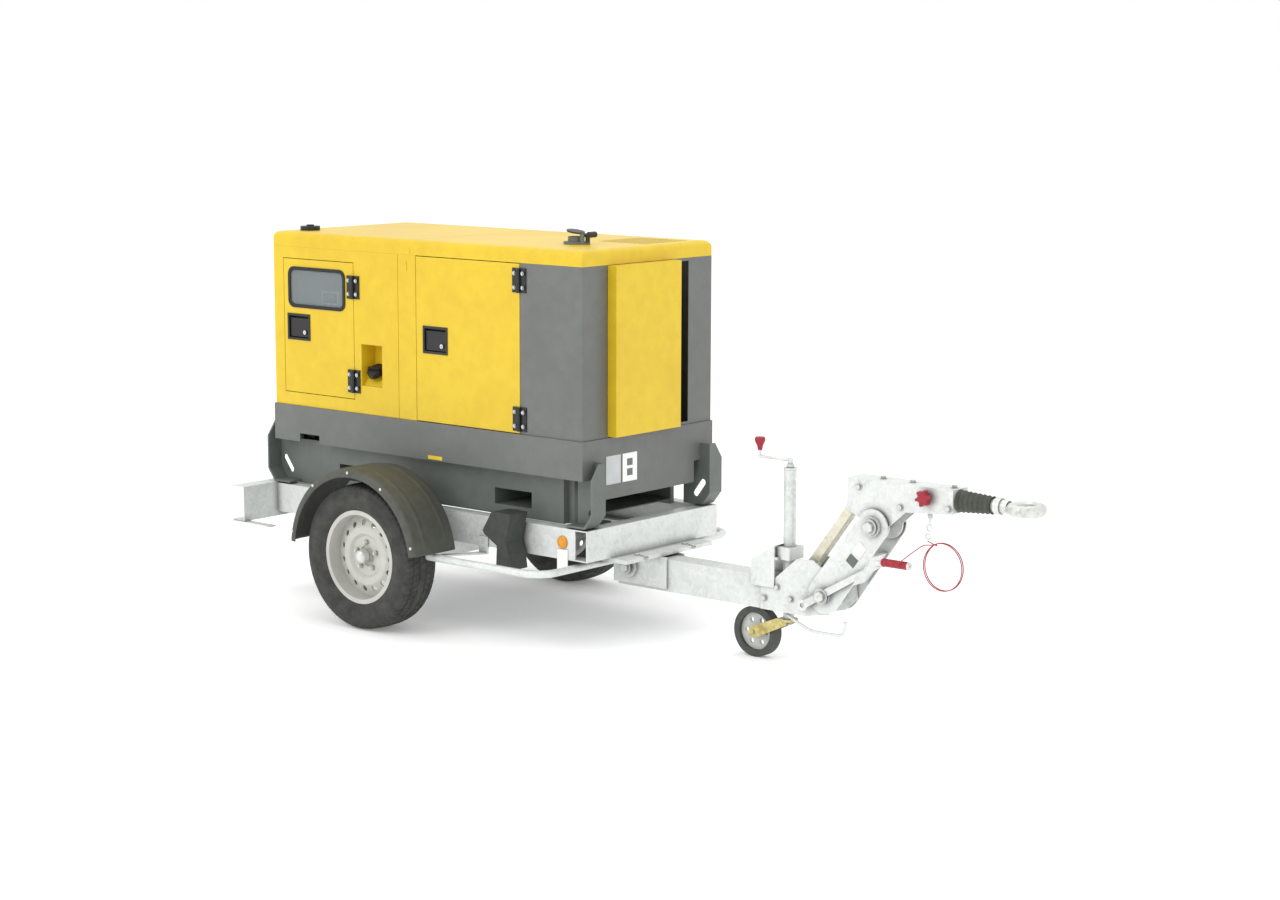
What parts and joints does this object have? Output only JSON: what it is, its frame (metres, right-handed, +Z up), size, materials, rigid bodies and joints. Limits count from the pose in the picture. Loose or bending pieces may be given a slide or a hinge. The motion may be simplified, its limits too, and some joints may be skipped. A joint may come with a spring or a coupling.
{
  "type": "towable diesel generator",
  "caption": "Towable diesel generator: a silenced canopy with doors on a braked single-axle undercarriage with mudguards, an adjustable towbar and a jockey wheel.",
  "frame": {"origin": "on the ground, midway between the rear tip of the undercarriage and the tip of the towing eye, on the centre line", "axes": "+X points to the towing eye, +Y to the left side seen from behind, +Z up"},
  "size_m": [3.625, 1.452, 1.6263],
  "materials": {
    "galvanised": "hot-dip galvanised, dull light grey",
    "zinc_plate": "yellow-passivated zinc plate",
    "yellow_paint": "powder coat, slightly satin bright yellow",
    "grey_paint": "powder coat, satin mid grey",
    "black_paint": "satin black paint",
    "dark_steel": "dark grey satin paint",
    "engine_paint": "dark painted castings",
    "alternator_paint": "blue-grey painted casting",
    "tyre": "matt black road rubber",
    "rim_paint": "off-white painted steel wheel",
    "jockey_rubber": "solid black rubber",
    "black_plastic": "moulded black plastic",
    "guard_plastic": "dark grey moulded plastic",
    "red_plastic": "moulded red plastic",
    "rubber_trim": "extruded black rubber",
    "lamp_plastic": "lamp and reflector lenses",
    "window": "tinted window",
    "cable_sheath": "red plastic-coated steel cable"
  },
  "bodies": {
    "chassis": {"chassis_rails": "galvanised", "cross_members": "galvanised", "axle_tube": "galvanised", "drawbar_beam": "galvanised", "drawbar_clamp": "galvanised", "step_bars": "galvanised", "mudguard_right": "guard_plastic", "mudguard_left": "guard_plastic", "road_lamps": "lamp_plastic", "base_frame": "grey_paint", "skid_frame": "dark_steel", "canopy_shell": "yellow_paint", "roof": "yellow_paint", "front_panel": "grey_paint", "baffle_box": "yellow_paint", "frame_hinges": "black_paint", "exhaust_system": "dark_steel", "engine": "engine_paint", "alternator": "alternator_paint", "radiator": "black_paint", "battery": "black_plastic", "fuel_tank": "black_plastic", "control_panel": "dark_steel", "jockey_tube": "galvanised"},
    "control_door_leaf": {"control_door": "yellow_paint", "control_fittings": "black_paint", "window_glass": "window", "window_gasket": "rubber_trim"},
    "control_latch": {"control_paddle": "black_plastic"},
    "service_door_leaf": {"service_door": "yellow_paint", "service_fittings": "black_paint"},
    "service_latch": {"service_paddle": "black_plastic"},
    "left_door_leaf": {"left_door": "yellow_paint", "left_fittings": "black_paint"},
    "left_latch": {"left_paddle": "black_plastic"},
    "filler_cap": {"fuel_cap": "black_plastic"},
    "radiator_cap": {"coolant_cap": "black_plastic"},
    "flap": {"rain_flap": "black_paint"},
    "cooling_fan": {"fan": "black_plastic"},
    "stop": {"stop_button": "red_plastic"},
    "chock": {"wheel_chock": "black_paint"},
    "right_arm": {"arm_right": "dark_steel"},
    "left_arm": {"arm_left": "dark_steel"},
    "right_wheel": {"tyre_right": "tyre", "rim_right": "rim_paint"},
    "left_wheel": {"tyre_left": "tyre", "rim_left": "rim_paint"},
    "leg": {"jockey_leg": "galvanised"},
    "crank": {"jockey_crank": "galvanised"},
    "grip": {"crank_grip": "red_plastic"},
    "fork": {"jockey_fork": "zinc_plate"},
    "front_wheel": {"jockey_wheel": "jockey_rubber"},
    "link": {"tow_link": "galvanised"},
    "link_strut": {"strut": "zinc_plate"},
    "coupling_head": {"head": "galvanised", "breakaway_cable": "cable_sheath"},
    "drawshaft": {"towing_eye": "zinc_plate", "bellows": "rubber_trim"},
    "knob": {"lock_knob": "red_plastic"},
    "handbrake": {"handbrake_lever": "galvanised"}
  },
  "joints": [
    {"name": "arm_right_swing", "type": "hinge", "parent": "chassis", "child": "right_arm", "pos_m": [-0.8025, -0.48, 0.319], "axis": [0, -1, 0], "range_deg": [0, 12], "stiffness_Nm_per_rad": 12000, "springref_deg": -4.58},
    {"name": "arm_left_swing", "type": "hinge", "parent": "chassis", "child": "left_arm", "pos_m": [-0.8025, 0.48, 0.319], "axis": [0, -1, 0], "range_deg": [0, 12], "stiffness_Nm_per_rad": 12000, "springref_deg": -4.58},
    {"name": "wheel_right_spin", "type": "hinge", "parent": "right_arm", "child": "right_wheel", "pos_m": [-0.9525, -0.615, 0.298], "axis": [0, 1, 0], "continuous": true},
    {"name": "wheel_left_spin", "type": "hinge", "parent": "left_arm", "child": "left_wheel", "pos_m": [-0.9525, 0.615, 0.298], "axis": [0, 1, 0], "continuous": true},
    {"name": "jockey_crank_turn", "type": "hinge", "parent": "chassis", "child": "crank", "pos_m": [0.7005, 0, 0.751], "axis": [0, 0, 1], "range_deg": [0, 14400]},
    {"name": "jockey_leg_slide", "type": "slide", "parent": "chassis", "child": "leg", "axis": [0, 0, -1], "range_m": [0, 0.24]},
    {"name": "crank_grip_spin", "type": "hinge", "parent": "crank", "child": "grip", "pos_m": [0.5545, 0, 0.811], "axis": [0, 0, 1], "continuous": true},
    {"name": "jockey_swivel", "type": "hinge", "parent": "leg", "child": "fork", "pos_m": [0.7005, 0, 0.16], "axis": [0, 0, 1], "continuous": true},
    {"name": "jockey_wheel_spin", "type": "hinge", "parent": "fork", "child": "front_wheel", "pos_m": [0.5525, 0, 0.1], "axis": [0, 1, 0], "continuous": true},
    {"name": "tow_link_pivot", "type": "hinge", "parent": "chassis", "child": "link", "pos_m": [0.9115, 0, 0.299], "axis": [0, 1, 0], "range_deg": [-8, 60]},
    {"name": "head_pivot", "type": "hinge", "parent": "link", "child": "coupling_head", "pos_m": [1.1265, 0, 0.589], "axis": [0, 1, 0], "range_deg": [-60, 8]},
    {"name": "strut_pivot", "type": "hinge", "parent": "chassis", "child": "link_strut", "pos_m": [0.8105, 0, 0.39], "axis": [0, 1, 0], "range_deg": [-8, 60]},
    {"name": "overrun_slide", "type": "slide", "parent": "coupling_head", "child": "drawshaft", "axis": [1, 0, 0], "range_m": [-0.06, 0], "stiffness_N_per_m": 8000, "deforming": ["bellows"]},
    {"name": "lock_knob_turn", "type": "hinge", "parent": "coupling_head", "child": "knob", "pos_m": [1.3535, -0.0503, 0.722], "axis": [0, 1, 0], "range_deg": [0, 90]},
    {"name": "handbrake_pull", "type": "hinge", "parent": "chassis", "child": "handbrake", "pos_m": [0.8255, -0.088, 0.253], "axis": [0, -1, 0], "range_deg": [0, 55]},
    {"name": "control_door_swing", "type": "hinge", "parent": "chassis", "child": "control_door_leaf", "pos_m": [-1.259, -0.409, 1.1], "axis": [0, 0, 1], "range_deg": [0, 120]},
    {"name": "service_door_swing", "type": "hinge", "parent": "chassis", "child": "service_door_leaf", "pos_m": [-0.326, -0.409, 1.1], "axis": [0, 0, 1], "range_deg": [0, 120]},
    {"name": "left_door_swing", "type": "hinge", "parent": "chassis", "child": "left_door_leaf", "pos_m": [-0.326, 0.409, 1.1], "axis": [0, 0, -1], "range_deg": [0, 120]},
    {"name": "control_latch_lift", "type": "hinge", "parent": "control_door_leaf", "child": "control_latch", "pos_m": [-1.6605, -0.394, 1.201], "axis": [-1, 0, 0], "range_deg": [0, 35], "stiffness_Nm_per_rad": 0.6, "springref_deg": -11.46},
    {"name": "service_latch_lift", "type": "hinge", "parent": "service_door_leaf", "child": "service_latch", "pos_m": [-0.8565, -0.394, 1.2015], "axis": [-1, 0, 0], "range_deg": [0, 35], "stiffness_Nm_per_rad": 0.6, "springref_deg": -11.46},
    {"name": "left_latch_lift", "type": "hinge", "parent": "left_door_leaf", "child": "left_latch", "pos_m": [-0.8565, 0.394, 1.2015], "axis": [1, 0, 0], "range_deg": [0, 35], "stiffness_Nm_per_rad": 0.6, "springref_deg": -11.46},
    {"name": "fuel_cap_turn", "type": "hinge", "parent": "chassis", "child": "filler_cap", "pos_m": [-1.1595, -0.366, 1], "axis": [0, -0.6018, 0.7986], "range_deg": [0, 90]},
    {"name": "coolant_cap_turn", "type": "hinge", "parent": "chassis", "child": "radiator_cap", "pos_m": [-1.6425, -0.28, 1.567], "axis": [0, 0, 1], "range_deg": [0, 90]},
    {"name": "rain_flap_open", "type": "hinge", "parent": "chassis", "child": "flap", "pos_m": [-0.2205, -0.13, 1.603], "axis": [0, 1, 0], "range_deg": [0, 45]},
    {"name": "fan_spin", "type": "hinge", "parent": "chassis", "child": "cooling_fan", "pos_m": [-0.2175, 0, 1.13], "axis": [1, 0, 0], "continuous": true},
    {"name": "stop_button_push", "type": "slide", "parent": "chassis", "child": "stop", "axis": [0, 1, 0], "range_m": [0, 0.005], "stiffness_N_per_m": 1500},
    {"name": "wheel_chock_lift", "type": "slide", "parent": "chassis", "child": "chock", "axis": [0, 0, 1], "range_m": [0, 0.12]}
  ],
  "couplings": [
    {"joint": "jockey_leg_slide", "follows": "jockey_crank_turn", "m_per_rad": 0.00095493},
    {"joint": "head_pivot", "follows": "tow_link_pivot", "ratio": -1},
    {"joint": "strut_pivot", "follows": "tow_link_pivot", "ratio": 1}
  ]
}
